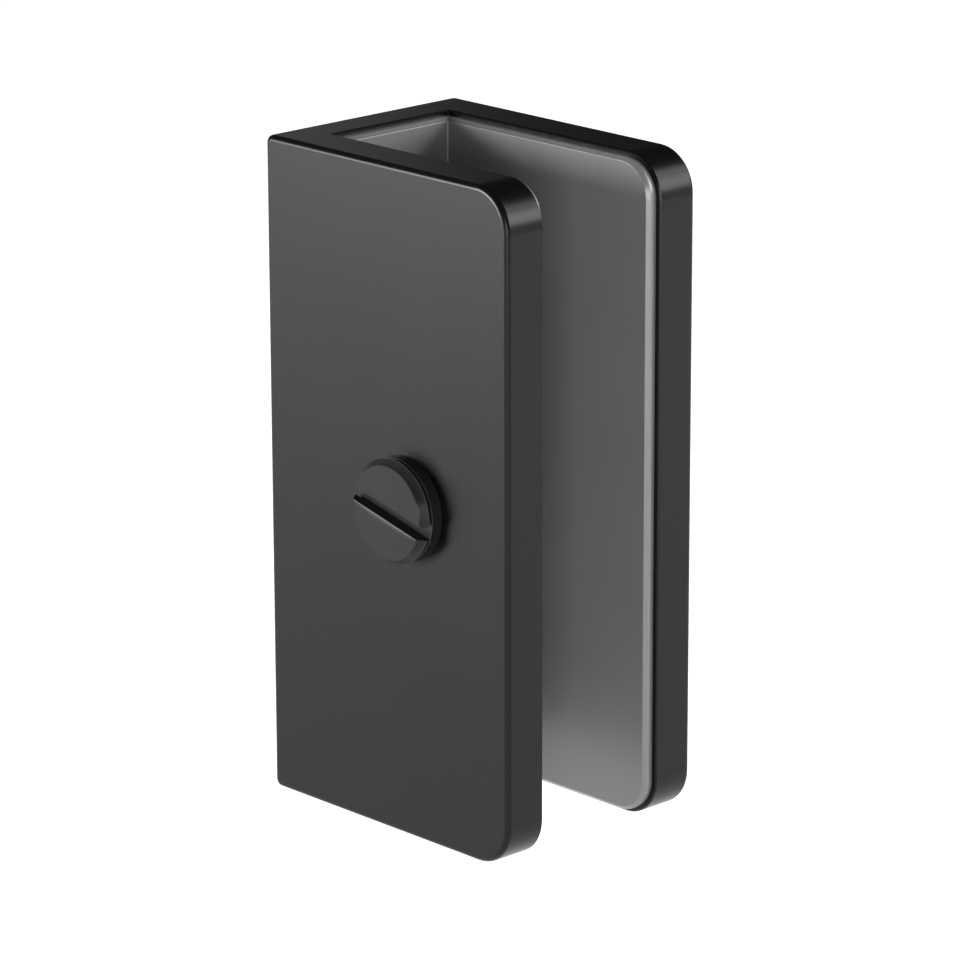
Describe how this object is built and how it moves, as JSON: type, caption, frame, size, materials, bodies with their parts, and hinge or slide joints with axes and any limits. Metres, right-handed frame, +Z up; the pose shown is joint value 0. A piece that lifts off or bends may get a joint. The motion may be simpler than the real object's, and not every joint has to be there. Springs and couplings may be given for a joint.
{
  "type": "glass u-bracket",
  "caption": "U-shaped wall bracket that clamps a glass pane: black metal channel, grey soft liner, slotted side screw and countersunk wall holes.",
  "frame": {"origin": "centre of the web's back face, which lies on the wall", "axes": "+X from the wall to the open mouth, +Y away from the clamp screw, +Z up along the channel"},
  "size_m": [0.0253, 0.0205, 0.05],
  "materials": {
    "black_coat": "fine matt powder coat",
    "grey_rubber": "soft satin",
    "black_steel": "satin black",
    "pad_brass": "turned"
  },
  "bodies": {
    "frame": {"bracket_body": "black_coat", "liner": "grey_rubber"},
    "pad": {"pressure_pad": "pad_brass"},
    "screw": {"clamp_screw": "black_steel"}
  },
  "joints": [
    {"name": "pad_slide", "type": "slide", "parent": "frame", "child": "pad", "axis": [0, 1, 0], "range_m": [-0.0014, 0]},
    {"name": "screw_turn", "type": "hinge", "parent": "pad", "child": "screw", "pos_m": [0.01469, -0.0093, 0], "axis": [0, 1, 0], "range_deg": [-720, 0]}
  ],
  "couplings": [
    {"joint": "screw_turn", "follows": "pad_slide", "rad_per_m": 8976}
  ]
}
